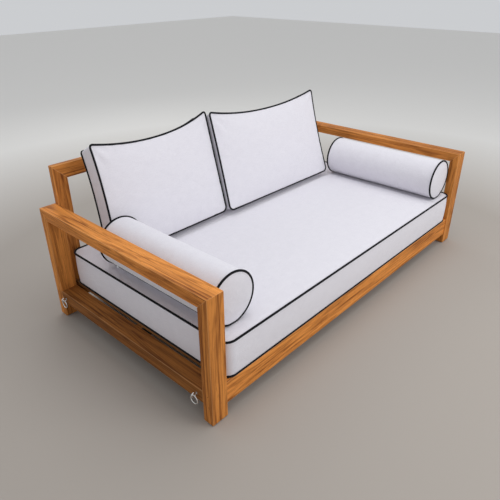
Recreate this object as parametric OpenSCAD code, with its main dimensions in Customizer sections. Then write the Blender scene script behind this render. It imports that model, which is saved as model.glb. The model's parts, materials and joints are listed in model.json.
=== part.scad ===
// Wooden daybed: two rectangular end frames, an open back frame and a slatted deck,
// with a mattress, two back cushions and two bolsters in piped covers.
// The origin is on the floor under the middle. The front faces -Y, and +X is to the right.

/* [Overall] */
// Length over the two end frames
overall_l = 2080; // [1800:10:2300]
// Depth from the front posts to the back posts
overall_d = 1100; // [900:10:1250]
// Height of the end frames
end_h = 575; // [480:5:660]
// Height of the back frame's top
back_h = 755; // [690:5:900]

/* [End frames] */
// Width of the end frame boards, along the length of the daybed
end_board_w = 80; // [66:1:100]
// Thickness of the end frame boards
end_board_t = 50; // [40:1:60]
// Top of the lower end rails
lower_rail_top = 150; // [130:1:175]
// Height of the lower end rails
lower_rail_h = 58; // [48:1:66]

/* [Back frame] */
// Face width of the back frame boards
back_board_w = 68; // [56:1:82]
// Thickness of the back frame boards
back_board_t = 28; // [23:1:34]

/* [Deck] */
// Top of the slats and of the long rails
deck_h = 162; // [150:1:175]
// Height of the long rails
long_rail_h = 102; // [90:1:110]
// Thickness of the front rail
front_rail_t = 28; // [23:1:34]
// Setback of the front rail from the faces of the posts
front_setback = 6; // [3:1:9]
// Number of slats
slat_count = 14; // [8:1:18]
// Width of a slat
slat_w = 70; // [50:1:84]
// Thickness of a slat
slat_t = 18; // [15:1:22]
// Side of the square cleats under the slat ends
cleat_s = 30; // [25:1:36]
// Height of the centre beam
beam_h = 60; // [50:1:70]
// Width of the centre beam
beam_w = 40; // [34:1:48]
// Side of the square centre leg
leg_s = 40; // [38:1:48]
// Plate thickness of the beam brackets
bracket_t = 3; // [2:0.5:4]

/* [Hardware] */
// Diameter of the wooden dowels
dowel_d = 10; // [8:1:12]
// Length of the wooden dowels
dowel_l = 44; // [36:1:50]
// Diameter of the frame bolts
bolt_d = 6; // [5:0.5:7]
// Length of a frame bolt in the rail or stile that it holds
bolt_grip = 41; // [34:1:50]
// Diameter of the bolt heads
bolt_head_d = 12; // [10:0.5:13]
// Height of the bolt heads
bolt_head_h = 5; // [4:0.5:6]
// Thickness of the wooden plugs over the bolt heads
plug_t = 8; // [6:0.5:10]
// Diameter of the barrel nuts
nut_d = 10; // [9:0.5:12]
// Length of the barrel nuts
nut_l = 20; // [16:1:22]
// Diameter of the wood screws
screw_d = 4.5; // [3.5:0.5:5]
// Diameter of the wood screws' heads
screw_head_d = 9; // [8:0.5:10]
// Length of the slat and cleat screws
screw_l = 42; // [34:1:46]
// Length of the bracket screws
short_screw_l = 25; // [20:1:30]
// Diameter of the foot glides
glide_d = 36; // [28:1:38]
// Height of the foot glides
glide_h = 4; // [3:0.5:5]
// Diameter of the nail of a foot glide
glide_nail_d = 5; // [4:0.5:6]
// Length of the nail of a foot glide
glide_nail_l = 20; // [14:1:26]

/* [Tie rings] */
// Distance of the screw eyes from the inner faces of the posts
eye_setback = 34; // [28:1:60]
// Wire diameter of the screw eyes and rings
wire_d = 5.5; // [4:0.25:6]
// Outside diameter of a screw eye
eye_d = 25; // [23:0.5:28]
// Outside diameter of a tie ring
ring_d = 44; // [40:0.5:50]
// Length of a screw eye's shank in the wood
eye_shank_l = 35; // [28:1:42]
// Play between a ring and its eye
ring_play = 0.35; // [0.3:0.05:0.5]

/* [Mattress] */
// Thickness of the mattress
mattress_t = 166; // [130:1:200]
// Gap between the mattress and the end frames
mattress_end_gap = 12; // [6:1:20]
// Distance of the mattress from the front faces of the posts
mattress_front_gap = 9; // [5:1:20]
// Gap between the mattress and the back frame
mattress_back_gap = 10; // [8:1:20]
// Radius of the mattress corners
mattress_r = 45; // [30:1:60]

/* [Back cushions] */
// Distance of the left cushion from the left end frame
cushion_left_gap = 125; // [90:1:170]
// Distance of the right cushion from the right end frame
cushion_right_gap = 222; // [80:1:240]
// How much wider the right cushion is than the left
cushion_w_step = 189; // [0:1:200]
// Height of both cushions
cushion_h = 515; // [440:5:600]
// Width of the cushions' boxing
cushion_t = 90; // [80:1:118]
// Bulge of the front of a cushion
cushion_crown_front = 20; // [16:1:24]
// Bulge of the back of a cushion
cushion_crown_back = 44; // [30:1:46]
// Radius of the cushion corners
cushion_r = 34; // [24:1:44]
// Lean of the cushions
cushion_lean = 15.5; // [10:0.5:16]
// Gap between the two cushions
cushion_gap = 11; // [10:1:20]
// Distance of the left cushion's foot from the back frame
left_cushion_foot = 185; // [170:1:200]
// Distance of the right cushion's foot from the back frame
right_cushion_foot = 207; // [170:1:220]

/* [Bolsters] */
// Diameter of a bolster
bolster_d = 220; // [180:1:250]
// Gap between the left bolster and the foot of the left cushion
bolster_back_gap = 13; // [11:1:60]
// Gap between the left bolster and the plane of its end frame
left_bolster_end_gap = 16; // [6:1:24]
// Gap between the right bolster and the plane of its end frame
right_bolster_end_gap = 6; // [6:1:24]
// Distance of the left bolster from the posts' front faces
left_bolster_front_gap = 85; // [60:1:100]
// Distance of the right bolster from the posts' front faces
right_bolster_front_gap = 50; // [40:1:60]

/* [Covers] */
// Thickness of a cover with its lining
cover_t = 4.5; // [4.2:0.1:5]
// Diameter of the piping cord
piping_d = 7.6; // [5:0.2:8]
// Width of a zip tape
zip_tape_w = 20; // [16:1:26]
// Thickness of a zip tape
zip_tape_t = 0.8; // [0.6:0.1:1.2]
// Width of the zip teeth
zip_teeth_w = 5; // [4:0.5:6]
// Height of the zip teeth above the tape
zip_teeth_h = 1.2; // [1:0.1:1.6]
// Width of a zip slider
slider_w = 9; // [8:0.5:10]
// Length of a zip slider
slider_l = 12; // [10:0.5:14]
// Height of a zip slider's body
slider_h = 3.4; // [3:0.1:4]
// Length of a zip slider's pull tab
pull_l = 18; // [14:1:24]
// Play round the zip teeth in a slider
slider_play = 0.35; // [0.3:0.05:0.5]
// Length of zip left over at each end of a seam
zip_end = 60; // [40:5:90]

/* [Hidden] */
$fn = 64;

left = -1;
right = 1;
front = -1;
back = 1;
fit = 0.1;            // play round a dowel, bolt, nut, screw or nail in its hole, on the radius
rest_gap = 0.3;       // gap between soft pieces that lie on each other
past = 1;             // how far a cut runs past the face it opens
wood = "peru";
wood_dark = "sienna";
fabric = "gainsboro";
foam = "khaki";
cord = "black";
steel = "silver";

half_l = overall_l / 2;
half_d = overall_d / 2;
inner_l = overall_l - 2 * end_board_w;
lower_rail_z = lower_rail_top - lower_rail_h / 2;
long_rail_bottom = deck_h - long_rail_h;
front_rail_y = -half_d + front_setback;
back_rail_y = half_d - back_board_t;
slat_bottom = deck_h - slat_t;
slat_end_gap = 2;
slat_front = front_rail_y + front_rail_t + slat_end_gap;
slat_back = back_rail_y - slat_end_gap;
slat_side_gap = 12;
slat_pitch = (inner_l - 2 * slat_side_gap - slat_w) / (slat_count - 1);
beam_bottom = slat_bottom - beam_h;
bolt_spread = 50;
bolt_l = end_board_w - plug_t - bolt_head_h + bolt_grip;
nut_in = bolt_grip - nut_d;
cleat_end_gap = 38;   // the cleats stop short of the barrel nuts
stile_bolt_z = [end_h - 275, end_h - 95];

function slat_x(i) = -inner_l / 2 + slat_side_gap + slat_w / 2 + i * slat_pitch;

// ---- general shapes ----

// A prism along X with the outline drawn in Y and Z
module along_x(x0, x1) {
    translate([x0, 0, 0]) rotate([90, 0, 90]) linear_extrude(x1 - x0) children();
}

// A prism along Y with the outline drawn in X and Z
module along_y(y0, y1) {
    translate([0, y1, 0]) rotate([90, 0, 0]) linear_extrude(y1 - y0) children();
}

// A box between two corners
module block(low, high) {
    translate(low) cube(high - low);
}

// A rounded rectangle from its corner at the origin
module rounded_rect(w, h, r) {
    translate([r, 0]) square([w - 2 * r, h]);
    translate([0, r]) square([w, h - 2 * r]);
    for (x = [r, w - r], y = [r, h - r])
        translate([x, y]) circle(r);
}

// A closed loop of round cord along a rounded rectangle in X and Y
module cord_loop(w, h, r) {
    for (y = [0, h])
        translate([r, y, 0]) rotate([0, 90, 0]) cylinder(h = w - 2 * r, d = piping_d);
    for (x = [0, w])
        translate([x, h - r, 0]) rotate([90, 0, 0]) cylinder(h = h - 2 * r, d = piping_d);
    for (c = [[r, r, 180], [w - r, r, 270], [w - r, h - r, 0], [r, h - r, 90]])
        translate([c[0], c[1], 0]) rotate([0, 0, c[2]])
            rotate_extrude(angle = 90) translate([r, 0]) circle(d = piping_d);
}

// A ring of round wire round the Z axis, with its outside diameter
module wire_ring(d, wire) {
    rotate_extrude() translate([(d - wire) / 2, 0]) circle(d = wire);
}

// ---- end frames ----

module at_end(side) {
    translate([side * (half_l - end_board_w / 2), 0, 0]) children();
}

// Dowels of one end frame: two across each mitre, and two at each end of the lower rail
module end_dowels(play) {
    for (x = [-end_board_w / 4, end_board_w / 4], e = [front, back]) {
        translate([x, e * (half_d - end_board_t / 2), end_h - end_board_t / 2])
            rotate([e * 45, 0, 0])
                translate([0, 0, -dowel_l / 2 - play])
                    cylinder(h = dowel_l + 2 * play, r = dowel_d / 2 + play);
        translate([x, e * (half_d - end_board_t), lower_rail_z])
            rotate([90, 0, 0])
                translate([0, 0, -dowel_l / 2 - play])
                    cylinder(h = dowel_l + 2 * play, r = dowel_d / 2 + play);
    }
}

// Heights of the bolts through one post
function post_bolt_z(e) = concat([deck_h - long_rail_h / 2 - bolt_spread / 2,
    deck_h - long_rail_h / 2 + bolt_spread / 2], e == back ? stile_bolt_z : []);

// Depth position of the bolts through one post
function post_bolt_y(e) = e == front ? front_rail_y + front_rail_t / 2 : half_d - back_board_t / 2;

// The hole of each bolt through a post, with its counterbore
module post_bolt_holes(side, e) {
    for (z = post_bolt_z(e)) {
        translate([side * (half_l + past), post_bolt_y(e), z]) rotate([0, -side * 90, 0]) {
            cylinder(h = end_board_w + 2 * past, r = bolt_d / 2 + fit);
            cylinder(h = past + plug_t + bolt_head_h, r = bolt_head_d / 2 + fit);
        }
    }
}

module end_post(side, e) {
    difference() {
        at_end(side) along_x(-end_board_w / 2, end_board_w / 2)
            polygon([[e * half_d, glide_h], [e * half_d, end_h],
                [e * (half_d - end_board_t), end_h - end_board_t],
                [e * (half_d - end_board_t), glide_h]]);
        at_end(side) end_dowels(fit);
        post_bolt_holes(side, e);
        translate([side * (half_l - end_board_w / 2), e * (half_d - end_board_t / 2), 0])
            cylinder(h = glide_h + glide_nail_l + fit, r = glide_nail_d / 2 + fit);
    }
}

module arm_rail(side) {
    difference() {
        at_end(side) along_x(-end_board_w / 2, end_board_w / 2)
            polygon([[-half_d, end_h], [half_d, end_h],
                [half_d - end_board_t, end_h - end_board_t],
                [-half_d + end_board_t, end_h - end_board_t]]);
        at_end(side) end_dowels(fit);
    }
}

module lower_rail(side) {
    difference() {
        at_end(side) block(
            [-end_board_w / 2, -half_d + end_board_t, lower_rail_top - lower_rail_h],
            [end_board_w / 2, half_d - end_board_t, lower_rail_top]);
        at_end(side) end_dowels(fit);
        for (e = [front, back])
            eye_place(side, e)
                translate([0, 0, -past]) cylinder(h = eye_shank_l + past + fit, r = wire_d / 2 + fit);
        plate_screws(side, fit);
    }
}

module left_front_post() { color(wood) end_post(left, front); }
module left_back_post() { color(wood) end_post(left, back); }
module left_arm_rail() { color(wood) arm_rail(left); }
module left_lower_rail() { color(wood_dark) lower_rail(left); }
module right_front_post() { color(wood) end_post(right, front); }
module right_back_post() { color(wood) end_post(right, back); }
module right_arm_rail() { color(wood) arm_rail(right); }
module right_lower_rail() { color(wood_dark) lower_rail(right); }

// ---- back frame ----

// Dowels of the back frame: two across each mitre, and two under each stile
module back_dowels(play) {
    mitre_spread = back_board_w / 4.5;
    for (side = [left, right]) {
        for (s = [-mitre_spread, mitre_spread])
            translate([side * (inner_l / 2 - back_board_w / 2), half_d - back_board_t / 2,
                    back_h - back_board_w / 2])
                rotate([0, -side * 45, 0])
                    translate([s, 0, -dowel_l / 2 - play])
                        cylinder(h = dowel_l + 2 * play, r = dowel_d / 2 + play);
        for (s = [-back_board_w / 4, back_board_w / 4])
            translate([side * (inner_l / 2 - back_board_w / 2) + s, half_d - back_board_t / 2,
                    deck_h - dowel_l / 2 - play])
                cylinder(h = dowel_l + 2 * play, r = dowel_d / 2 + play);
    }
}

// The hole of each bolt and barrel nut in the end of a rail or a stile
module bolt_end_holes(side, y, zs, rail_t) {
    for (z = zs) {
        translate([side * (inner_l / 2 + past), y, z]) rotate([0, -side * 90, 0])
            cylinder(h = past + bolt_grip + fit, r = bolt_d / 2 + fit);
        nut_place(side, y, z)
            translate([0, 0, -nut_l / 2 - fit])
                cylinder(h = nut_l / 2 + fit + rail_t / 2 + past, r = nut_d / 2 + fit);
    }
}

// The middle of a barrel nut, with the local Z axis towards the back
module nut_place(side, y, z) {
    translate([side * (inner_l / 2 - nut_in), y, z]) rotate([-90, 0, 0]) children();
}

module back_stile(side) {
    difference() {
        along_y(back_rail_y, half_d)
            polygon([[side * inner_l / 2, deck_h], [side * inner_l / 2, back_h],
                [side * (inner_l / 2 - back_board_w), back_h - back_board_w],
                [side * (inner_l / 2 - back_board_w), deck_h]]);
        back_dowels(fit);
        bolt_end_holes(side, post_bolt_y(back), stile_bolt_z, back_board_t);
    }
}

module back_left_stile() { color(wood) back_stile(left); }
module back_right_stile() { color(wood) back_stile(right); }

module back_top_rail() {
    color(wood) difference() {
        along_y(back_rail_y, half_d)
            polygon([[-inner_l / 2, back_h], [inner_l / 2, back_h],
                [inner_l / 2 - back_board_w, back_h - back_board_w],
                [-inner_l / 2 + back_board_w, back_h - back_board_w]]);
        back_dowels(fit);
    }
}

module long_rail_holes(e) {
    for (side = [left, right])
        bolt_end_holes(side, post_bolt_y(e),
            [deck_h - long_rail_h / 2 - bolt_spread / 2, deck_h - long_rail_h / 2 + bolt_spread / 2],
            e == front ? front_rail_t : back_board_t);
    cleat_screw_set(e, fit);
}

module back_lower_rail() {
    color(wood_dark) difference() {
        block([-inner_l / 2, back_rail_y, long_rail_bottom], [inner_l / 2, half_d, deck_h]);
        back_dowels(fit);
        long_rail_holes(back);
    }
}

// ---- deck ----

module front_rail() {
    color(wood) difference() {
        block([-inner_l / 2, front_rail_y, long_rail_bottom],
            [inner_l / 2, front_rail_y + front_rail_t, deck_h]);
        long_rail_holes(front);
    }
}

// Inner face of a long rail
function rail_face(e) = e == front ? front_rail_y + front_rail_t : back_rail_y;

// A countersunk screw down the local Z axis, with its head's top at zero
module screw(l, play) {
    translate([0, 0, -l - play]) cylinder(h = l + play, r = screw_d / 2 + play);
    translate([0, 0, -screw_d / 2])
        cylinder(h = screw_d / 2, r1 = screw_d / 2 + play, r2 = screw_head_d / 2 + play);
}

module slat_screw_set(play) {
    for (i = [0 : slat_count - 1], e = [front, back])
        translate([slat_x(i), rail_face(e) - e * (cleat_s / 2 + slat_end_gap), deck_h])
            screw(screw_l, play);
}

module cleat_screw_set(e, play) {
    for (i = [0 : 2 : slat_count - 2])
        translate([slat_x(i) + slat_pitch / 2, rail_face(e) - e * cleat_s, slat_bottom - cleat_s / 2])
            rotate([e * 90, 0, 0]) screw(screw_l, play);
}

module cleat(e) {
    difference() {
        block([-inner_l / 2 + cleat_end_gap, min(rail_face(e), rail_face(e) - e * cleat_s),
                slat_bottom - cleat_s],
            [inner_l / 2 - cleat_end_gap, max(rail_face(e), rail_face(e) - e * cleat_s), slat_bottom]);
        slat_screw_set(fit);
        cleat_screw_set(e, fit);
    }
}

module front_cleat() { color(wood_dark) cleat(front); }
module back_cleat() { color(wood_dark) cleat(back); }

module centre_beam() {
    color(wood_dark) difference() {
        block([-inner_l / 2 + bracket_t, -beam_w / 2, beam_bottom],
            [inner_l / 2 - bracket_t, beam_w / 2, slat_bottom]);
        leg_dowel(fit);
        cheek_screws(fit);
    }
}

module leg_dowel(play) {
    translate([0, 0, beam_bottom - dowel_l / 2 - play])
        cylinder(h = dowel_l + 2 * play, r = dowel_d / 2 + play);
}

module centre_leg() {
    color(wood_dark) difference() {
        block([-leg_s / 2, -leg_s / 2, glide_h], [leg_s / 2, leg_s / 2, beam_bottom]);
        leg_dowel(fit);
        cylinder(h = glide_h + glide_nail_l + fit, r = glide_nail_d / 2 + fit);
    }
}

module seat_slats() {
    color(wood) difference() {
        for (i = [0 : slat_count - 1])
            block([slat_x(i) - slat_w / 2, slat_front, slat_bottom],
                [slat_x(i) + slat_w / 2, slat_back, deck_h]);
        slat_screw_set(fit);
    }
}

// ---- hardware ----

module slat_screws() { color(steel) slat_screw_set(0); }

module cleat_screws() {
    color(steel) for (e = [front, back]) cleat_screw_set(e, 0);
}

module wood_dowels() {
    color("burlywood") {
        for (side = [left, right]) at_end(side) end_dowels(0);
        back_dowels(0);
        leg_dowel(0);
    }
}

// Each bolt, from its head under the plug to its end in the barrel nut
module frame_bolts() {
    color(steel) for (side = [left, right], e = [front, back], z = post_bolt_z(e))
        translate([side * (half_l - plug_t), post_bolt_y(e), z]) rotate([0, -side * 90, 0]) {
            difference() {
                cylinder(h = bolt_head_h, d = bolt_head_d);
                translate([0, 0, -past]) cylinder(h = bolt_head_h / 2 + past, d = bolt_d, $fn = 6);
            }
            translate([0, 0, bolt_head_h]) cylinder(h = bolt_l, d = bolt_d);
        }
}

module barrel_nuts() {
    color(steel) for (side = [left, right], e = [front, back], z = post_bolt_z(e))
        difference() {
            nut_place(side, post_bolt_y(e), z)
                translate([0, 0, -nut_l / 2]) cylinder(h = nut_l, d = nut_d);
            translate([side * inner_l / 2, post_bolt_y(e), z]) rotate([0, -side * 90, 0])
                cylinder(h = inner_l / 4, r = bolt_d / 2 + fit);
        }
}

module bolt_plugs() {
    color(wood_dark) for (side = [left, right], e = [front, back], z = post_bolt_z(e))
        translate([side * half_l, post_bolt_y(e), z]) rotate([0, -side * 90, 0])
            cylinder(h = plug_t, d = bolt_head_d);
}

bracket_flange = 18;
bracket_foot = 46;

// The screws that hold a bracket's back plate to the lower rail
module plate_screws(side, play) {
    for (s = [-1, 1], z = [-1, 1])
        translate([side * (inner_l / 2 - bracket_t), s * (beam_w / 2 + bracket_t + bracket_flange / 2),
                lower_rail_z + z * lower_rail_h / 4])
            rotate([0, -side * 90, 0]) screw(short_screw_l, play);
}

// The screws through a bracket's cheeks into the beam
module cheek_screws(play) {
    for (side = [left, right], s = [-1, 1])
        translate([side * (inner_l / 2 - bracket_foot * 0.6), s * (beam_w / 2 + bracket_t),
                beam_bottom + beam_h / 2 + s * beam_h / 6])
            rotate([-s * 90, 0, 0]) screw(beam_w / 2 - past, play);
}

// A stirrup with a back plate on the lower rail and a seat and two cheeks round the beam
module beam_bracket(side) {
    seat_low = beam_bottom - bracket_t;
    wall = beam_w / 2 + bracket_t;
    plate_low = lower_rail_top - lower_rail_h;
    difference() {
        union() {
            translate([side * (inner_l / 2 - bracket_t / 2) - bracket_t / 2, -wall - bracket_flange,
                    plate_low])
                cube([bracket_t, 2 * (wall + bracket_flange), slat_bottom - plate_low]);
            difference() {
                translate([side * (inner_l / 2 - bracket_foot / 2) - bracket_foot / 2, -wall, seat_low])
                    cube([bracket_foot, 2 * wall, slat_bottom - seat_low]);
                translate([side * (inner_l / 2 - bracket_t - bracket_foot / 2) - bracket_foot / 2,
                        -beam_w / 2, beam_bottom])
                    cube([bracket_foot, beam_w, beam_h + past]);
            }
        }
        plate_screws(side, fit);
        cheek_screws(fit);
    }
}

module beam_brackets() {
    color(steel) for (side = [left, right]) beam_bracket(side);
}

module bracket_screws() {
    color(steel) {
        for (side = [left, right]) plate_screws(side, 0);
        cheek_screws(0);
    }
}

module foot_glide() {
    cylinder(h = glide_h, d = glide_d);
    cylinder(h = glide_h + glide_nail_l, d = glide_nail_d);
}

module foot_glides() {
    color("dimgray") {
        for (side = [left, right], e = [front, back])
            translate([side * (half_l - end_board_w / 2), e * (half_d - end_board_t / 2), 0])
                foot_glide();
        foot_glide();
    }
}

// ---- tie rings ----

eye_y = half_d - end_board_t - eye_setback;
eye_reach = eye_d / 2 + 1;   // from the rail's face to the middle of the eye
eye_wire_r = (eye_d - wire_d) / 2;
ring_drop = eye_wire_r - wire_d - ring_play;   // from the eye's middle to the ring's wire

// A place on the outer face of a lower rail, with the local Z axis into the wood
module eye_place(side, e) {
    translate([side * half_l, e * eye_y, lower_rail_z])
        rotate([0, -side * 90, 0]) children();
}

module screw_eye(side, e) {
    color(steel) {
        eye_place(side, e) {
            cylinder(h = eye_shank_l, d = wire_d);
            translate([0, 0, -eye_reach + eye_wire_r]) cylinder(h = eye_reach - eye_wire_r, d = wire_d);
            translate([0, 0, -1.5]) cylinder(h = 1.5, d = 2.4 * wire_d);
        }
        translate([side * (half_l + eye_reach), e * eye_y, lower_rail_z])
            rotate([90, 0, 0]) wire_ring(eye_d, wire_d);
    }
}

module tie_ring(side, e) {
    color(steel)
        translate([side * (half_l + eye_reach), e * eye_y,
                lower_rail_z - ring_drop - (ring_d - wire_d) / 2])
            rotate([0, 90, 0]) wire_ring(ring_d, wire_d);
}

module left_front_eye() { screw_eye(left, front); }
module left_back_eye() { screw_eye(left, back); }
module right_front_eye() { screw_eye(right, front); }
module right_back_eye() { screw_eye(right, back); }
module left_front_ring() { tie_ring(left, front); }
module left_back_ring() { tie_ring(left, back); }
module right_front_ring() { tie_ring(right, front); }
module right_back_ring() { tie_ring(right, back); }

// ---- zips ----

// A zip of length l along X, lying on the plane z = 0
module zip_strip(l) {
    translate([-l / 2, -zip_tape_w / 2, 0]) cube([l, zip_tape_w, zip_tape_t]);
    translate([-l / 2, -zip_teeth_w / 2, 0]) cube([l, zip_teeth_w, zip_tape_t + zip_teeth_h]);
}

// The slider over the teeth at the left end of a zip, with its pull tab
module zip_slider(l) {
    low = zip_tape_t + slider_play;
    translate([-l / 2 + zip_start, 0, 0]) {
        difference() {
            translate([0, -slider_w / 2, low]) cube([slider_l, slider_w, slider_h]);
            translate([-past, -zip_teeth_w / 2 - slider_play, low - past])
                cube([slider_l + 2 * past, zip_teeth_w + 2 * slider_play, zip_teeth_h + past]);
        }
        translate([slider_l / 3, -slider_w / 4, low + slider_h]) cube([pull_l, slider_w / 2, 1]);
    }
}

zip_start = 5;        // from the end of the teeth to the slider at rest

// ---- mattress ----

mattress_l = inner_l - 2 * mattress_end_gap;
mattress_front = -half_d + mattress_front_gap;
mattress_back = back_rail_y - mattress_back_gap;
mattress_w = mattress_back - mattress_front;
mattress_bottom = deck_h + rest_gap;
mattress_top = mattress_bottom + mattress_t;
mattress_zip_l = mattress_l - 2 * mattress_r - 2 * zip_end;

module mattress_solid(inset) {
    translate([-mattress_l / 2 + inset, mattress_front + inset, mattress_bottom + inset])
        linear_extrude(mattress_t - 2 * inset)
            rounded_rect(mattress_l - 2 * inset, mattress_w - 2 * inset, mattress_r - inset);
}

module mattress_cords() {
    for (z = [mattress_bottom + 0.6 * piping_d, mattress_top])
        translate([-mattress_l / 2, mattress_front, z]) cord_loop(mattress_l, mattress_w, mattress_r);
}

module mattress_cover() {
    color(fabric) difference() {
        mattress_solid(0);
        mattress_solid(cover_t);
        mattress_cords();
    }
}

module mattress_core() { color(foam) mattress_solid(cover_t); }

module mattress_piping() { color(cord) mattress_cords(); }

module mattress_zip_place() {
    translate([0, mattress_back, mattress_bottom + mattress_t / 2]) rotate([-90, 0, 0]) children();
}

module mattress_zip() { color(cord) mattress_zip_place() zip_strip(mattress_zip_l); }
module mattress_zip_slider() { color(steel) mattress_zip_place() zip_slider(mattress_zip_l); }

// ---- back cushions ----

left_cushion_w = (inner_l - cushion_left_gap - cushion_right_gap - cushion_gap - cushion_w_step) / 2;
right_cushion_w = left_cushion_w + cushion_w_step;

// Radius of the arc that bulges by crown over a chord
function bulge_r(chord, crown) = (chord * chord / 4 + crown * crown) / (2 * crown);

// A boxed outline round a length l along X, with both long sides bulging by a multiple of the
// cushion's bulge, front towards -Y
module crowned_rect(l, inset, k) {
    bulge_f = k * cushion_crown_front;
    bulge_b = k * cushion_crown_back;
    rf = bulge_r(l, bulge_f);
    rb = bulge_r(l, bulge_b);
    intersection() {
        translate([-past, -bulge_f - past])
            square([l + 2 * past, cushion_t + bulge_f + bulge_b + 2 * past]);
        translate([l / 2, -bulge_f + rf]) circle(r = rf - inset, $fn = 256);
        translate([l / 2, cushion_t + bulge_b - rb]) circle(r = rb - inset, $fn = 256);
    }
}

// A cushion standing on its boxing: width along X from 0, boxing from y = 0 back, height along
// Z. The curve over its height gives the full bulge, and the curve over its width only rounds
// its two ends
module cushion_solid(w, inset) {
    low = -cushion_crown_front - 2 * past;
    high = cushion_t + cushion_crown_back + 2 * past;
    intersection() {
        translate([0, 0, -past]) linear_extrude(cushion_h + 2 * past) crowned_rect(w, inset, 1.5);
        translate([-past, 0, 0]) rotate([0, -90, 0]) mirror([0, 0, 1])
            linear_extrude(w + 2 * past) crowned_rect(cushion_h, inset, 1);
        translate([inset, high, inset]) rotate([90, 0, 0]) linear_extrude(high - low)
            rounded_rect(w - 2 * inset, cushion_h - 2 * inset, cushion_r - inset);
    }
}

module cushion_cords(w) {
    for (y = [0, cushion_t])
        translate([0, y, 0]) rotate([90, 0, 0]) cord_loop(w, cushion_h, cushion_r);
}

// Depth position of a cushion's front edge, from the distance of its foot to the back frame
function foot_front(foot) = back_rail_y - foot - cushion_t * cos(cushion_lean);

// Lean and place a cushion
module lean_back(x, foot) {
    lift = piping_d / 2 + cushion_t * sin(cushion_lean);
    translate([x, foot_front(foot), mattress_top + rest_gap + lift])
        rotate([-cushion_lean, 0, 0]) children();
}

module left_cushion_place() {
    lean_back(-inner_l / 2 + cushion_left_gap, left_cushion_foot) children();
}

module right_cushion_place() {
    lean_back(inner_l / 2 - cushion_right_gap - right_cushion_w, right_cushion_foot) children();
}

module cushion_cover(w) {
    color(fabric) difference() {
        cushion_solid(w, 0);
        cushion_solid(w, cover_t);
        cushion_cords(w);
    }
}

module cushion_filling(w) { color(foam) cushion_solid(w, cover_t); }

// The zip lies under the cushion, in the middle of its boxing
module cushion_zip_place(w) {
    translate([w / 2, cushion_t / 2, 0]) rotate([180, 0, 0]) children();
}

function cushion_zip_l(w) = w - 2 * cushion_r - 2 * zip_end;

module left_cushion_cover() { left_cushion_place() cushion_cover(left_cushion_w); }
module left_cushion_filling() { left_cushion_place() cushion_filling(left_cushion_w); }
module left_cushion_piping() { color(cord) left_cushion_place() cushion_cords(left_cushion_w); }
module left_cushion_zip() {
    color(cord) left_cushion_place() cushion_zip_place(left_cushion_w)
        zip_strip(cushion_zip_l(left_cushion_w));
}
module left_cushion_zip_slider() {
    color(steel) left_cushion_place() cushion_zip_place(left_cushion_w)
        zip_slider(cushion_zip_l(left_cushion_w));
}

module right_cushion_cover() { right_cushion_place() cushion_cover(right_cushion_w); }
module right_cushion_filling() { right_cushion_place() cushion_filling(right_cushion_w); }
module right_cushion_piping() { color(cord) right_cushion_place() cushion_cords(right_cushion_w); }
module right_cushion_zip() {
    color(cord) right_cushion_place() cushion_zip_place(right_cushion_w)
        zip_strip(cushion_zip_l(right_cushion_w));
}
module right_cushion_zip_slider() {
    color(steel) right_cushion_place() cushion_zip_place(right_cushion_w)
        zip_slider(cushion_zip_l(right_cushion_w));
}

// ---- bolsters ----

bolster_l = foot_front(left_cushion_foot) + half_d - left_bolster_front_gap - bolster_back_gap;
bolster_zip_l = bolster_l - 2 * zip_end;

// The middle of a bolster's front face, with the local Z axis towards the back
module bolster_place(side) {
    end_gap = side == left ? left_bolster_end_gap : right_bolster_end_gap;
    front_gap = side == left ? left_bolster_front_gap : right_bolster_front_gap;
    translate([side * (inner_l / 2 - end_gap - bolster_d / 2), -half_d + front_gap,
            mattress_top + rest_gap + bolster_d / 2 + piping_d / 2])
        rotate([-90, 0, 0]) children();
}

module bolster_cords() {
    for (z = [0, bolster_l])
        translate([0, 0, z]) wire_ring(bolster_d + piping_d, piping_d);
}

module bolster_cover(side) {
    color(fabric) difference() {
        cylinder(h = bolster_l, d = bolster_d);
        translate([0, 0, cover_t]) cylinder(h = bolster_l - 2 * cover_t, r = bolster_d / 2 - cover_t);
        bolster_cords();
        bolster_zip_place(side) zip_strip(bolster_zip_l);
    }
}

module bolster_filling() {
    color(foam) translate([0, 0, cover_t])
        cylinder(h = bolster_l - 2 * cover_t, r = bolster_d / 2 - cover_t);
}

// The zip runs along a bolster, low on the side towards its end frame, and its tape is let
// into the round cover until its edges are flush
module bolster_zip_place(side) {
    tape_seat = sqrt(pow(bolster_d / 2, 2) - pow(zip_tape_w / 2, 2));
    rotate([0, 0, side < 0 ? 135 : 45])
        translate([tape_seat, 0, bolster_l / 2])
            rotate([0, 90, 0]) children();
}

module bolster_zip(side) {
    color(cord) bolster_zip_place(side) zip_strip(bolster_zip_l);
}

module bolster_zip_slider(side) {
    color(steel) bolster_zip_place(side) zip_slider(bolster_zip_l);
}

module left_bolster_cover() { bolster_place(left) bolster_cover(left); }
module left_bolster_filling() { bolster_place(left) bolster_filling(); }
module left_bolster_piping() { color(cord) bolster_place(left) bolster_cords(); }
module left_bolster_zip() { bolster_place(left) bolster_zip(left); }
module left_bolster_zip_slider() { bolster_place(left) bolster_zip_slider(left); }
module right_bolster_cover() { bolster_place(right) bolster_cover(right); }
module right_bolster_filling() { bolster_place(right) bolster_filling(); }
module right_bolster_piping() { color(cord) bolster_place(right) bolster_cords(); }
module right_bolster_zip() { bolster_place(right) bolster_zip(right); }
module right_bolster_zip_slider() { bolster_place(right) bolster_zip_slider(right); }

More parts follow.
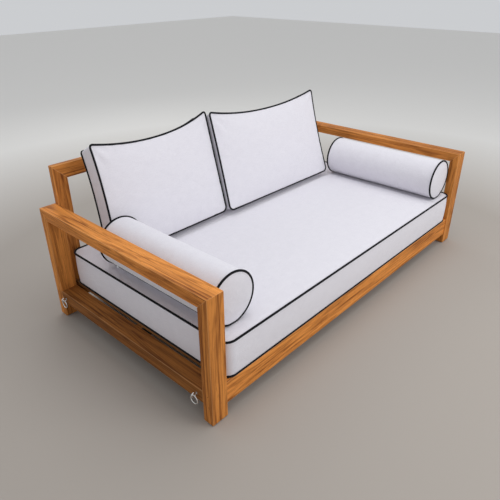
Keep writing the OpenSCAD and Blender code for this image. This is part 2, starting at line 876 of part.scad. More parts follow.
left_front_post();
left_back_post();
left_arm_rail();
left_lower_rail();
right_front_post();
right_back_post();
right_arm_rail();
right_lower_rail();
back_left_stile();
back_right_stile();
back_top_rail();
back_lower_rail();
front_rail();
front_cleat();
back_cleat();
centre_beam();
centre_leg();
seat_slats();
slat_screws();
cleat_screws();
wood_dowels();
frame_bolts();
barrel_nuts();
bolt_plugs();
beam_brackets();
bracket_screws();
foot_glides();
left_front_eye();
left_back_eye();
right_front_eye();
right_back_eye();
left_front_ring();
left_back_ring();
right_front_ring();
right_back_ring();
mattress_cover();
mattress_core();
mattress_piping();
mattress_zip();
mattress_zip_slider();
left_cushion_cover();
left_cushion_filling();
left_cushion_piping();
left_cushion_zip();
left_cushion_zip_slider();
right_cushion_cover();
right_cushion_filling();
right_cushion_piping();
right_cushion_zip();
right_cushion_zip_slider();
left_bolster_cover();
left_bolster_filling();
left_bolster_piping();
left_bolster_zip();
left_bolster_zip_slider();
right_bolster_cover();
right_bolster_filling();
right_bolster_piping();
right_bolster_zip();
right_bolster_zip_slider();
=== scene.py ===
# A wooden daybed with a piped mattress, two back cushions and two bolsters
import json
import math

import bmesh
import bpy
from mathutils import Matrix, Vector, noise


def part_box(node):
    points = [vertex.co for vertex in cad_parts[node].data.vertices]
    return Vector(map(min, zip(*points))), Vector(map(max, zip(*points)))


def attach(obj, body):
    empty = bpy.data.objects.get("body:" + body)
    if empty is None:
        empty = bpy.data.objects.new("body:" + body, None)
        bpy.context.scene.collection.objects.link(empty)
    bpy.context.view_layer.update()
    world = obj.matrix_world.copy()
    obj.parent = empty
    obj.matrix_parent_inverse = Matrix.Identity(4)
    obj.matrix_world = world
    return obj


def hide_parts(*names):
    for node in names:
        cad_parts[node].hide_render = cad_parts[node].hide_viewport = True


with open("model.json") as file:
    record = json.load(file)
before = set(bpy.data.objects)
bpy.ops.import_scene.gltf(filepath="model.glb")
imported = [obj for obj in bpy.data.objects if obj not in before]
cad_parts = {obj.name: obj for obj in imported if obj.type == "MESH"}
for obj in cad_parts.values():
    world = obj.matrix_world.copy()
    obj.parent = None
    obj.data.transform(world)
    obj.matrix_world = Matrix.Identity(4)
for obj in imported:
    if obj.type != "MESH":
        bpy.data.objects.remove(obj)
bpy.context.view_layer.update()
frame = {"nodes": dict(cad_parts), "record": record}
nodes = frame["nodes"]
bodyOf = {}
for bodyName, members in frame["record"]["behaviour"]["bodies"].items():
    for member in members:
        bodyOf[member] = bodyName
slotOf = {}
for subpart in frame["record"]["subparts"]:
    slotOf[subpart["node"]] = subpart["material_slot"]


# ---- camera, light and floor

view = {
    "lens": 36.5,
    "place": (-1.941, -1.573, 1.501),
    "yaw": 47.35,  # degrees from +Y towards +X
    "pitch": 28.64,  # degrees down
    "roll": -0.33,
}


def makeCamera():
    data = bpy.data.cameras.new("camera")
    data.lens = view["lens"]
    data.sensor_width = 36
    camera = bpy.data.objects.new("camera", data)
    turn = Matrix.Rotation(math.radians(-view["yaw"]), 4, "Z")
    tilt = Matrix.Rotation(math.radians(90 - view["pitch"]), 4, "X")
    roll = Matrix.Rotation(math.radians(view["roll"]), 4, "Z")
    camera.matrix_world = Matrix.Translation(view["place"]) @ turn @ tilt @ roll
    bpy.context.scene.collection.objects.link(camera)
    bpy.context.scene.camera = camera


light = {
    "world": (0.95, 0.97, 1.0),
    "worldStrength": 0.63,
    "floor": (0.41, 0.37, 0.33),
    "farFloor": (0.80, 0.785, 0.755),
    "paleFrom": 1.7,  # metres from the middle
    "paleTo": 3.4,
    "floorReach": 14,
    "lamps": [
        # name, place, aimed at, size, power
        ("ceilingLamp", (0.6, -0.6, 4.4), (0.0, 0.0, 0.3), 3.6, 48),
        ("frontLamp", (0.9, -3.8, 2.4), (0.0, -0.3, 0.4), 2.6, 52),
        ("backLamp", (1.2, 3.2, 2.6), (0.0, 0.2, 0.5), 2.4, 16),
    ],
}


def makeLight():
    world = bpy.data.worlds.new("studio")
    world.use_nodes = True
    background = world.node_tree.nodes["Background"]
    background.inputs["Color"].default_value = (*light["world"], 1)
    background.inputs["Strength"].default_value = light["worldStrength"]
    bpy.context.scene.world = world
    bpy.context.scene.view_settings.view_transform = "Standard"
    for name, place, target, size, power in light["lamps"]:
        data = bpy.data.lights.new(name, "AREA")
        data.shape = "DISK"
        data.size = size
        data.energy = power
        lamp = bpy.data.objects.new(name, data)
        lamp.location = place
        lamp.rotation_euler = (Vector(target) - Vector(place)).to_track_quat("-Z", "Y").to_euler()
        bpy.context.scene.collection.objects.link(lamp)


def makeFloor():
    reach = light["floorReach"]
    corners = [(-reach, -reach, 0), (reach, -reach, 0), (reach, reach, 0), (-reach, reach, 0)]
    mesh = bpy.data.meshes.new("floor")
    mesh.from_pydata(corners, [], [(0, 1, 2, 3)])
    floor = bpy.data.objects.new("floor", mesh)
    bpy.context.scene.collection.objects.link(floor)
    material = bpy.data.materials.new("floorPaint")
    material.use_nodes = True
    tree = material.node_tree
    shader = tree.nodes["Principled BSDF"]
    shader.inputs["Roughness"].default_value = 0.7
    # the floor turns paler away from the daybed
    coordinate = tree.nodes.new("ShaderNodeTexCoord")
    away = tree.nodes.new("ShaderNodeVectorMath")
    away.operation = "LENGTH"
    spread = tree.nodes.new("ShaderNodeMapRange")
    spread.inputs["From Min"].default_value = light["paleFrom"]
    spread.inputs["From Max"].default_value = light["paleTo"]
    tone = tree.nodes.new("ShaderNodeMix")
    tone.data_type = "RGBA"
    tone.inputs[6].default_value = (*light["floor"], 1)
    tone.inputs[7].default_value = (*light["farFloor"], 1)
    tree.links.new(coordinate.outputs["Object"], away.inputs[0])
    tree.links.new(away.outputs["Value"], spread.inputs["Value"])
    tree.links.new(spread.outputs["Result"], tone.inputs[0])
    tree.links.new(tone.outputs[2], shader.inputs["Base Color"])
    mesh.materials.append(material)


makeCamera()
makeLight()
makeFloor()
print("camera, light and floor made")


# ---- shader helpers


class Tree:
    # a short way to add nodes and link their sockets
    def __init__(self, tree):
        self.tree = tree

    def add(self, kind, settings=None, **inputs):
        node = self.tree.nodes.new(kind)
        for key, value in (settings or {}).items():
            setattr(node, key, value)
        for key, value in inputs.items():
            self.feed(node.inputs[key.replace("_", " ")], value)
        return node

    def feed(self, socket, value):
        if isinstance(value, bpy.types.NodeSocket):
            self.tree.links.new(value, socket)
        else:
            socket.default_value = value

    def math(self, operation, first, second=0.0, clamp=False):
        node = self.tree.nodes.new("ShaderNodeMath")
        node.operation = operation
        node.use_clamp = clamp
        self.feed(node.inputs[0], first)
        self.feed(node.inputs[1], second)
        return node.outputs[0]

    def mix(self, share, first, second, blend="MIX"):
        node = self.tree.nodes.new("ShaderNodeMix")
        node.data_type = "RGBA"
        node.blend_type = blend
        self.feed(node.inputs[0], share)
        self.feed(node.inputs[6], first)
        self.feed(node.inputs[7], second)
        return node.outputs[2]

    def stretch(self, value, low, high, newLow=0.0, newHigh=1.0):
        node = self.add("ShaderNodeMapRange")
        self.feed(node.inputs[0], value)
        for index, bound in enumerate((low, high, newLow, newHigh), 1):
            self.feed(node.inputs[index], bound)
        return node.outputs[0]

    def noise(self, vector, scale, detail=2.0, rough=0.5, warp=0.0):
        node = self.add("ShaderNodeTexNoise", Vector=vector, Scale=scale, Detail=detail,
                        Roughness=rough, Distortion=warp)
        return node.outputs[0]

    def scaled(self, vector, scale, rotation=(0, 0, 0), place=(0, 0, 0)):
        node = self.add("ShaderNodeMapping", Vector=vector, Scale=scale, Rotation=rotation,
                        Location=place)
        return node.outputs[0]


def newGroup(name, inputs, outputs):
    tree = bpy.data.node_groups.new(name, "ShaderNodeTree")
    for label, kind, value in inputs:
        socket = tree.interface.new_socket(name=label, in_out="INPUT", socket_type=kind)
        if value is not None:
            socket.default_value = value
    for label, kind in outputs:
        tree.interface.new_socket(name=label, in_out="OUTPUT", socket_type=kind)
    start = tree.nodes.new("NodeGroupInput")
    end = tree.nodes.new("NodeGroupOutput")
    return Tree(tree), start.outputs, end.inputs


colour = "NodeSocketColor"
number = "NodeSocketFloat"
vectorKind = "NodeSocketVector"


def makeGrainGroup():
    group, given, out = newGroup(
        "boardGrain",
        [("Vector", vectorKind, None), ("Light", colour, (0.62, 0.27, 0.08, 1)),
         ("Dark", colour, (0.2, 0.06, 0.02, 1)), ("Figure", number, 1.0), ("Worn", number, 0.0)],
        [("Color", colour), ("Roughness", number), ("Height", number)])
    along = given["Vector"]
    bend = group.noise(group.scaled(along, (0.9, 5, 5)), 1.6, 2, 0.5)
    rings = group.noise(group.scaled(along, (0.9, 11, 11)), 1.5, 3, 0.5, 0.8)
    rings = group.math("SINE", group.math("MULTIPLY", rings, 38.0))
    rings = group.math("POWER", group.stretch(rings, -1, 1), 2.2)
    fibres = group.noise(group.scaled(along, (5, 150, 150)), 1.0, 4, 0.65)
    streaks = group.noise(group.scaled(along, (1.4, 34, 34)), 1.0, 3, 0.6, 0.3)
    lines = group.noise(group.scaled(along, (2.2, 130, 130)), 1.0, 3, 0.55, 0.5)
    pores = group.noise(group.scaled(along, (26, 620, 620)), 1.0, 1, 0.5)
    pores = group.stretch(pores, 0.60, 0.72)
    dark = group.math("MULTIPLY", rings, group.math("MULTIPLY", given["Figure"], 0.36))
    dark = group.math("ADD", dark, group.stretch(streaks, 0.42, 0.72, 0.0, 0.42))
    dark = group.math("ADD", dark, group.stretch(fibres, 0.3, 0.75, -0.05, 0.3))
    dark = group.math("ADD", dark, group.stretch(lines, 0.55, 0.68, 0.0, 0.5))
    dark = group.math("ADD", dark, group.stretch(bend, 0.35, 0.65, -0.1, 0.16), True)
    board = group.mix(dark, given["Light"], given["Dark"])
    board = group.mix(group.math("MULTIPLY", pores, 0.45), board, (0.06, 0.02, 0.008, 1))
    # the eased edges turn paler: partly edge wear, partly a painted highlight where the rounded edges catch
    # the light
    pale = group.mix(0.35, given["Light"], (0.95, 0.66, 0.36, 1))
    wearAndHighlight = group.math("MULTIPLY", given["Worn"], group.stretch(streaks, 0.2, 0.7, 0.7, 0.15))
    group.feed(out["Color"], group.mix(wearAndHighlight, board, pale))
    group.feed(out["Roughness"], group.stretch(fibres, 0.3, 0.7, 0.52, 0.70))
    height = group.math("SUBTRACT", group.math("MULTIPLY", fibres, 0.6), group.math("MULTIPLY", pores, 0.5))
    group.feed(out["Height"], height)
    return group.tree


def makeWeaveGroup():
    # a plain weave laid on the cloth's own map, which is in metres
    group, given, out = newGroup(
        "plainWeave",
        [("Vector", vectorKind, None), ("Thread", number, 0.0011), ("Tone", colour, (0.7, 0.7, 0.75, 1)),
         ("Shade", colour, (0.5, 0.5, 0.55, 1)), ("Mottle", number, 0.3)],
        [("Color", colour), ("Height", number), ("Roughness", number), ("Crease", number)])
    split = group.add("ShaderNodeSeparateXYZ", Vector=given["Vector"])
    across = group.math("DIVIDE", split.outputs[0], given["Thread"])
    down = group.math("DIVIDE", split.outputs[1], given["Thread"])
    warp = group.math("ABSOLUTE", group.math("SINE", group.math("MULTIPLY", across, math.pi)))
    weft = group.math("ABSOLUTE", group.math("SINE", group.math("MULTIPLY", down, math.pi)))
    sides = group.math("ADD", group.math("FLOOR", across), group.math("FLOOR", down))
    over = group.math("ABSOLUTE", group.math("MODULO", sides, 2.0))
    up = group.math("MULTIPLY", warp, over)
    flat = group.math("MULTIPLY", weft, group.math("SUBTRACT", 1.0, over))
    height = group.math("ADD", up, flat)
    slubs = group.noise(group.scaled(given["Vector"], (30, 260, 1)), 1.0, 2, 0.6)
    cloud = group.noise(given["Vector"], 26.0, 4, 0.6)
    wear = group.math("MULTIPLY", given["Mottle"], group.stretch(cloud, 0.3, 0.7, 0.0, 1.0))
    shade = group.math("ADD", wear, group.stretch(height, 0.0, 0.9, 0.35, 0.0))
    shade = group.math("ADD", shade, group.stretch(slubs, 0.35, 0.7, 0.0, 0.14), True)
    group.feed(out["Color"], group.mix(shade, given["Tone"], given["Shade"]))
    group.feed(out["Height"], group.math("ADD", height, group.math("MULTIPLY", slubs, 0.5)))
    group.feed(out["Roughness"], group.stretch(cloud, 0.3, 0.7, 0.86, 0.96))
    folds = group.noise(group.scaled(given["Vector"], (5, 9, 1), (0, 0, 0.5)), 1.0, 3, 0.45, 1.1)
    folds = group.math("ABSOLUTE", group.math("SUBTRACT", folds, 0.5))
    group.feed(out["Crease"], group.stretch(folds, 0.0, 0.16))
    return group.tree


def makeScuffGroup():
    # fine scratches and dulled patches on metal and plastic
    group, given, out = newGroup(
        "fineScuffs",
        [("Vector", vectorKind, None), ("Tone", colour, (0.8, 0.8, 0.8, 1)), ("Rough", number, 0.2),
         ("Strength", number, 0.3)],
        [("Color", colour), ("Roughness", number), ("Height", number)])
    scratches = group.noise(group.scaled(given["Vector"], (90, 900, 260)), 1.0, 3, 0.7)
    patches = group.noise(given["Vector"], 70.0, 3, 0.6)
    both = group.math("MULTIPLY", group.math("ADD", scratches, patches), 0.5)
    dull = group.math("MULTIPLY", given["Strength"], group.stretch(both, 0.4, 0.65))
    group.feed(out["Color"], group.mix(dull, given["Tone"], (0.25, 0.24, 0.22, 1)))
    group.feed(out["Roughness"], group.math("ADD", given["Rough"], group.math("MULTIPLY", dull, 0.5), True))
    group.feed(out["Height"], scratches)
    return group.tree


grainGroup = makeGrainGroup()
weaveGroup = makeWeaveGroup()
scuffGroup = makeScuffGroup()


def newMaterial(name):
    material = bpy.data.materials.new(name)
    material.use_nodes = True
    tree = Tree(material.node_tree)
    return material, tree, material.node_tree.nodes["Principled BSDF"]


def useGroup(tree, group, **inputs):
    node = tree.tree.nodes.new("ShaderNodeGroup")
    node.node_tree = group
    for key, value in inputs.items():
        tree.feed(node.inputs[key], value)
    return node.outputs


def bump(tree, shader, height, distance, strength=1.0):
    node = tree.add("ShaderNodeBump", Height=height, Distance=distance, Strength=strength)
    tree.feed(shader.inputs["Normal"], node.outputs[0])


# turns that bring each board's length onto the grain's direction
grainTurn = {"x": (0, 0, 0), "y": (0, 0, -math.pi / 2), "z": (0, math.pi / 2, 0)}


def boardWood(name, axis, shift, lightTone, darkTone, figure=1.0):
    material, tree, shader = newMaterial(name)
    coordinate = tree.add("ShaderNodeTexCoord").outputs["Object"]
    turned = tree.scaled(coordinate, (1, 1, 1), grainTurn[axis], shift)
    # the eased faces take the paler edge colour, partly wear and partly a painted highlight
    wearAndHighlight = tree.add("ShaderNodeAttribute", {"attribute_name": "easedEdge"}).outputs["Fac"]
    grain = useGroup(tree, grainGroup, Vector=turned, Light=(*lightTone, 1), Dark=(*darkTone, 1),
                     Figure=figure, Worn=wearAndHighlight)
    tree.feed(shader.inputs["Base Color"], grain["Color"])
    tree.feed(shader.inputs["Roughness"], grain["Roughness"])
    shader.inputs["Specular IOR Level"].default_value = 0.14
    bump(tree, shader, grain["Height"], 0.0006, 0.5)
    return material


def clothMaterial(name, tone, shade, thread, mottle, sheen, relief):
    material, tree, shader = newMaterial(name)
    laid = tree.add("ShaderNodeUVMap", {"uv_map": "cloth"}).outputs[0]
    weave = useGroup(tree, weaveGroup, Vector=laid, Thread=thread, Tone=(*tone, 1), Shade=(*shade, 1),
                     Mottle=mottle)
    tree.feed(shader.inputs["Base Color"], weave["Color"])
    tree.feed(shader.inputs["Roughness"], weave["Roughness"])
    shader.inputs["Sheen Weight"].default_value = sheen
    shader.inputs["Sheen Roughness"].default_value = 0.6
    shader.inputs["Specular IOR Level"].default_value = 0.2
    creased = tree.add("ShaderNodeBump", Height=weave["Crease"], Distance=0.004, Strength=0.2)
    woven = tree.add("ShaderNodeBump", Height=weave["Height"], Distance=relief, Strength=0.6,
                     Normal=creased.outputs[0])
    tree.feed(shader.inputs["Normal"], woven.outputs[0])
    return material


def scuffedMaterial(name, tone, rough, metallic, strength, relief=0.00004):
    material, tree, shader = newMaterial(name)
    coordinate = tree.add("ShaderNodeTexCoord").outputs["Object"]
    scuffs = useGroup(tree, scuffGroup, Vector=coordinate, Tone=(*tone, 1), Rough=rough, Strength=strength)
    tree.feed(shader.inputs["Base Color"], scuffs["Color"])
    tree.feed(shader.inputs["Roughness"], scuffs["Roughness"])
    shader.inputs["Metallic"].default_value = metallic
    bump(tree, shader, scuffs["Height"], relief, 0.5)
    return material


cloth = {
    "coverTone": (0.82, 0.80, 0.85),
    "coverShade": (0.64, 0.62, 0.68),
    "coverThread": 0.0011,
    "pipingTone": (0.009, 0.009, 0.012),
    "pipingShade": (0.003, 0.003, 0.004),
}

coverCloth = clothMaterial("paleCover", cloth["coverTone"], cloth["coverShade"], cloth["coverThread"],
                           0.14, 0.25, 0.00025)
pipingCloth = clothMaterial("blackPiping", cloth["pipingTone"], cloth["pipingShade"], 0.0007, 0.3, 0.03,
                            0.0002)
ringMetal = scuffedMaterial("polishedRings", (0.83, 0.83, 0.82), 0.10, 1.0, 0.22)
screwMetal = scuffedMaterial("satinScrews", (0.62, 0.62, 0.61), 0.30, 1.0, 0.35)
bracketPaint = scuffedMaterial("blackBrackets", (0.03, 0.03, 0.03), 0.42, 0.0, 0.25, 0.00008)
glidePlastic = scuffedMaterial("darkGlides", (0.05, 0.05, 0.05), 0.55, 0.0, 0.3, 0.00008)
print("materials made")


# ---- boards, copied from the frame with eased edges

boards = {
    "ease": 0.0022,
    "light": (0.73, 0.280, 0.060),
    "dark": (0.19, 0.052, 0.009),
    # painted light and shade: the arm rail and front rail are made lighter and the lower rails darker, to
    # stand for how light falls on them
    "toneAndPaintedShading": {"left_arm_rail": 1.22, "front_rail": 1.25, "left_front_post": 1.0,
                   "left_lower_rail": 0.52, "right_lower_rail": 0.8, "back_lower_rail": 0.85},
    "innerLight": (0.36, 0.16, 0.05),
    "innerDark": (0.14, 0.05, 0.013),
    "outer": {
        "left_front_post": "z", "left_back_post": "z", "left_arm_rail": "y", "left_lower_rail": "y",
        "right_front_post": "z", "right_back_post": "z", "right_arm_rail": "y",
        "right_lower_rail": "y", "back_left_stile": "z", "back_right_stile": "z",
        "back_top_rail": "x", "back_lower_rail": "x", "front_rail": "x",
    },
    "inner": {
        "front_cleat": "x", "back_cleat": "x", "centre_beam": "x", "centre_leg": "z", "seat_slats": "y",
    },
}


def pieceName(node):
    words = node.split("_")
    return words[0] + "".join(word.capitalize() for word in words[1:])


def takeOver(piece, body, slot, *replaced):
    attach(piece, body)
    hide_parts(*replaced)
    return piece


def easedBoard(node, material, ease):
    mesh = nodes[node].data.copy()
    mesh.name = pieceName(node) + "Board"
    shape = bmesh.new()
    shape.from_mesh(mesh)
    bmesh.ops.remove_doubles(shape, verts=shape.verts, dist=1e-6)
    bmesh.ops.dissolve_limit(shape, angle_limit=math.radians(0.5), verts=shape.verts, edges=shape.edges)
    layer = shape.faces.layers.float.new("easedEdge")
    sharp = []
    for edge in shape.edges:
        if len(edge.link_faces) == 2 and edge.calc_length() > 0.016:
            if edge.calc_face_angle(0) > math.radians(40):
                sharp.append(edge)
    rounded = bmesh.ops.bevel(shape, geom=sharp, offset=ease, segments=3, profile=0.5,
                              affect="EDGES", clamp_overlap=True)
    # marks the rounded faces, which the wood paints paler as wear and as a painted highlight
    for face in rounded["faces"]:
        face[layer] = 1.0
    for face in shape.faces:
        face.smooth = False
    for face in rounded["faces"]:
        face.smooth = True
    shape.to_mesh(mesh)
    shape.free()
    mesh.materials.clear()
    mesh.materials.append(material)
    piece = bpy.data.objects.new(pieceName(node) + "Board", mesh)
    bpy.context.scene.collection.objects.link(piece)
    return takeOver(piece, bodyOf[node], slotOf[node], node)


for index, (node, axis) in enumerate(boards["outer"].items()):
    shift = (1.7 * index, 0.31 * index, 0.47 * index)
    # the listed boards take painted light or shade; the others vary in tone at random by up to 5 percent
    toneAndPaintedShading = boards["toneAndPaintedShading"].get(node, 1.0 + 0.05 * math.sin(2.3 * index))
    lightTone = tuple(value * toneAndPaintedShading for value in boards["light"])
    darkTone = tuple(value * toneAndPaintedShading for value in boards["dark"])
    wood = boardWood(pieceName(node) + "Wood", axis, shift, lightTone, darkTone)
    easedBoard(node, wood, boards["ease"])
for index, (node, axis) in enumerate(boards["inner"].items()):
    shift = (2.3 * index, 0.2 + 0.4 * index, 0.9)
    wood = boardWood(pieceName(node) + "Wood", axis, shift, boards["innerLight"], boards["innerDark"], 0.6)
    easedBoard(node, wood, boards["ease"] * 0.6)
print("boards made")


# ---- hardware, carried over from the frame

plugWood = boardWood("plugWood", "x", (9.1, 0.2, 0.4), boards["light"], boards["dark"], 0.5)
dowelWood = boardWood("dowelWood", "z", (4.4, 0.3, 0.1), (0.66, 0.45, 0.25), (0.40, 0.24, 0.11), 0.4)
carried = {
    "bolt_plugs": plugWood,
    "wood_dowels": dowelWood,
    "slat_screws": screwMetal,
    "cleat_screws": screwMetal,
    "frame_bolts": screwMetal,
    "barrel_nuts": screwMetal,
    "bracket_screws": screwMetal,
    "beam_brackets": bracketPaint,
    "foot_glides": glidePlastic,
}
for side in ("left", "right"):
    for end in ("front", "back"):
        carried[side + "_" + end + "_eye"] = ringMetal
        carried[side + "_" + end + "_ring"] = ringMetal
for soft in ("mattress", "left_cushion", "right_cushion", "left_bolster", "right_bolster"):
    carried[soft + "_zip_slider"] = ringMetal


def carryOver(node, material):
    mesh = nodes[node].data
    mesh.materials.clear()
    mesh.materials.append(material)


for node, material in carried.items():
    carryOver(node, material)
print("hardware finished")


# ---- soft goods

pipingCore = 0.0038  # radius of the cord in the frame
pipingRadius = 0.0048
pipingProud = 0.0004


def clothSeat(vertices, faces, laid, name, material):
    # a closed cloth mesh with its map in metres, one map corner for each face corner
    mesh = bpy.data.meshes.new(name)
    mesh.from_pydata(vertices, [], faces)
    mapped = mesh.uv_layers.new(name="cloth")
    loop = 0
    for corners in laid:
        for corner in corners:
            mapped.data[loop].uv = corner
            loop += 1
    mesh.materials.append(material)
    mesh.shade_smooth()
    mesh.update()
    piece = bpy.data.objects.new(name, mesh)
    bpy.context.scene.collection.objects.link(piece)
    return piece


def sideCurve(length, startRadius, endRadius, count, sag):
    # one side of a panel from corner to corner, as (along, inward) points
    startArc = startRadius * math.pi / 4
    endArc = endRadius * math.pi / 4
    straight = length - startRadius - endRadius
    total = startArc + straight + endArc
    points = []
    shares = []
    for step in range(count + 1):
        even = step / count
        eased = 0.5 - 0.5 * math.cos(math.pi * even)
        share = 0.45 * even + 0.55 * eased
        reach = share * total
        if reach < startArc:
            angle = math.radians(225) + reach / startRadius
            along = startRadius + startRadius * math.cos(angle)
            inward = startRadius + startRadius * math.sin(angle)
        elif reach <= startArc + straight:
            along = startRadius + reach - startArc
            inward = 0.0
        else:
            angle = math.radians(270) + (reach - startArc - straight) / endRadius
            along = length - endRadius + endRadius * math.cos(angle)
            inward = endRadius + endRadius * math.sin(angle)
        side = 2 * share - 1
        inward += sag * (1 - abs(side) ** 2.1)
        points.append((along, inward))
        shares.append(share)
    return points, shares


def panelGrid(width, height, radii, counts, sags):
    # radii: low left, low right, top right, top left; sags: bottom, right, top, left
    across, up = counts
    lowLeft, lowRight, topRight, topLeft = radii
    bottom, acrossShares = sideCurve(width, lowLeft, lowRight, across, sags[0])
    right, upShares = sideCurve(height, lowRight, topRight, up, sags[1])
    top = sideCurve(width, topRight, topLeft, across, sags[2])[0]
    left = sideCurve(height, topLeft, lowLeft, up, sags[3])[0]
    bottom = [Vector((a, i)) for a, i in bottom]
    right = [Vector((width - i, a)) for a, i in right]
    top = [Vector((width - a, height - i)) for a, i in reversed(top)]
    left = [Vector((i, height - a)) for a, i in reversed(left)]
    grid = []
    for j in range(up + 1):
        v = upShares[j]
        row = []
        for i in range(across + 1):
            u = acrossShares[i]
            ruled = bottom[i] * (1 - v) + top[i] * v + left[j] * (1 - u) + right[j] * u
            corners = (bottom[0] * (1 - u) + bottom[-1] * u) * (1 - v)
            corners += (top[0] * (1 - u) + top[-1] * u) * v
            row.append((ruled - corners, 2 * u - 1, 2 * v - 1))
        grid.append(row)
    return grid


def borderOf(across, up):
    loop = [(i, 0) for i in range(across)]
    loop += [(across, j) for j in range(up)]
    loop += [(i, up) for i in range(across, 0, -1)]
    loop += [(0, j) for j in range(up, 0, -1)]
    return loop


def crownShape(u, v, power=2.4, soft=0.8):
    rise = max(0.0, 1 - abs(u) ** power) * max(0.0, 1 - abs(v) ** power)
    return rise ** soft


def boxedPad(name, grid, depth, frontRise, backRise, boxingPush, place, material, rings=8):
    # panels at depth 0 and at full depth, with the boxing between them; place gives world points
    up = len(grid) - 1
    across = len(grid[0]) - 1
    vertices = []
    flat = []
    front = {}
    back = {}
    for table, start, rise in ((front, 0.0, frontRise), (back, depth, backRise)):
        for j in range(up + 1):
            for i in range(across + 1):
                point, u, v = grid[j][i]
                table[i, j] = len(vertices)
                lifted = start + rise(point.x, point.y, u, v)
                vertices.append(place(point.x, lifted, point.y))
                flat.append((point.x, point.y))
    faces = []
    laid = []

    def corner(key, shift):
        return (flat[key][0] + shift, flat[key][1])

    for j in range(up):
        for i in range(across):
            a, b, c, d = front[i, j], front[i + 1, j], front[i + 1, j + 1], front[i, j + 1]
            faces.append((a, b, c, d))
            laid.append([corner(key, 0.0) for key in (a, b, c, d)])
            a, b, c, d = back[i, j], back[i, j + 1], back[i + 1, j + 1], back[i + 1, j]
            faces.append((a, b, c, d))
            laid.append([corner(key, 3.0) for key in (a, b, c, d)])
    border = borderOf(across, up)
    count = len(border)
    outline = [grid[j][i][0] for i, j in border]
    reach = [0.0]
    for index in range(count):
        reach.append(reach[-1] + (outline[(index + 1) % count] - outline[index]).length)
    rows = [[front[key] for key in border]]
    for ring in range(1, rings):
        share = ring / rings
        row = []
        for index in range(count):
            before, after = outline[index - 1], outline[(index + 1) % count]
            run = (after - before).normalized()
            outward = Vector((run.y, -run.x))
            push = boxingPush(reach[index], share, outward)
            moved = outline[index] + outward * push
            row.append(len(vertices))
            vertices.append(place(moved.x, depth * share, moved.y))
        rows.append(row)
    rows.append([back[key] for key in border])
    for ring in range(rings):
        for index in range(count):
            follow = (index + 1) % count
            faces.append((rows[ring][index], rows[ring + 1][index],
                          rows[ring + 1][follow], rows[ring][follow]))
            low, high = depth * ring / rings, depth * (ring + 1) / rings
            laid.append([(reach[index], 5 + low), (reach[index], 5 + high),
                         (reach[index + 1], 5 + high), (reach[index + 1], 5 + low)])
    piece = clothSeat(vertices, faces, laid, name, material)
    frontSeam = []
    backSeam = []
    for index in range(count):
        run = (outline[(index + 1) % count] - outline[index - 1]).normalized()
        proud = 0.0 if run.x > 0.7 else pipingProud
        moved = outline[index] + Vector((run.y, -run.x)) * proud
        frontSeam.append(place(moved.x, -proud, moved.y))
        backSeam.append(place(moved.x, depth + proud, moved.y))
    return piece, frontSeam, backSeam


def makePipingTree():
    tree = bpy.data.node_groups.new("pipingAlongSeam", "GeometryNodeTree")
    face = tree.interface
    face.new_socket(name="Geometry", in_out="INPUT", socket_type="NodeSocketGeometry")
    diameter = face.new_socket(name="Diameter", in_out="INPUT", socket_type="NodeSocketFloat")
    diameter.default_value = 2 * pipingRadius
    sides = face.new_socket(name="Sides", in_out="INPUT", socket_type="NodeSocketInt")
    sides.default_value = 12
    finish = face.new_socket(name="Material", in_out="INPUT", socket_type="NodeSocketMaterial")
    face.new_socket(name="Geometry", in_out="OUTPUT", socket_type="NodeSocketGeometry")
    add = tree.nodes.new
    link = tree.links.new
    start = add("NodeGroupInput")
    end = add("NodeGroupOutput")
    round_ = add("GeometryNodeCurvePrimitiveCircle")
    half = add("ShaderNodeMath")
    half.operation = "MULTIPLY"
    half.inputs[1].default_value = 0.5
    sweep = add("GeometryNodeCurveToMesh")
    along = add("GeometryNodeSplineParameter")
    rim = add("GeometryNodeSplineParameter")
    keepAlong = add("GeometryNodeCaptureAttribute")
    keepAlong.capture_items.new("FLOAT", "Along")
    keepRim = add("GeometryNodeCaptureAttribute")
    keepRim.capture_items.new("FLOAT", "Rim")
    pair = add("ShaderNodeCombineXYZ")
    store = add("GeometryNodeStoreNamedAttribute")
    store.data_type = "FLOAT2"
    store.domain = "CORNER"
    store.inputs["Name"].default_value = "cloth"
    smooth = add("GeometryNodeSetShadeSmooth")
    realize = add("GeometryNodeRealizeInstances")
    paint = add("GeometryNodeSetMaterial")
    link(start.outputs["Diameter"], half.inputs[0])
    link(half.outputs[0], round_.inputs["Radius"])
    link(start.outputs["Sides"], round_.inputs["Resolution"])
    link(start.outputs["Geometry"], keepAlong.inputs["Geometry"])
    link(along.outputs["Length"], keepAlong.inputs["Along"])
    link(round_.outputs["Curve"], keepRim.inputs["Geometry"])
    link(rim.outputs["Length"], keepRim.inputs["Rim"])
    link(keepAlong.outputs["Geometry"], sweep.inputs["Curve"])
    link(keepRim.outputs["Geometry"], sweep.inputs["Profile Curve"])
    link(keepAlong.outputs["Along"], pair.inputs[0])
    link(keepRim.outputs["Rim"], pair.inputs[1])
    link(sweep.outputs["Mesh"], store.inputs["Geometry"])
    link(pair.outputs[0], store.inputs["Value"])
    link(store.outputs["Geometry"], smooth.inputs["Geometry"])
    link(smooth.outputs["Geometry"], realize.inputs["Geometry"])
    link(realize.outputs["Geometry"], paint.inputs["Geometry"])
    link(start.outputs["Material"], paint.inputs["Material"])
    link(paint.outputs["Geometry"], end.inputs["Geometry"])
    names = {"Diameter": diameter.identifier, "Sides": sides.identifier, "Material": finish.identifier}
    return tree, names


pipingTree, pipingInputs = makePipingTree()


def plainMesh(source, name):
    # the evaluated shape as a plain mesh of its own
    bpy.context.view_layer.update()
    graph = bpy.context.evaluated_depsgraph_get()
    mesh = bpy.data.meshes.new_from_object(source.evaluated_get(graph), depsgraph=graph)
    mesh.name = name
    data = source.data
    bpy.data.objects.remove(source)
    if isinstance(data, bpy.types.Curve):
        bpy.data.curves.remove(data)
    piece = bpy.data.objects.new(name, mesh)
    bpy.context.scene.collection.objects.link(piece)
    return piece


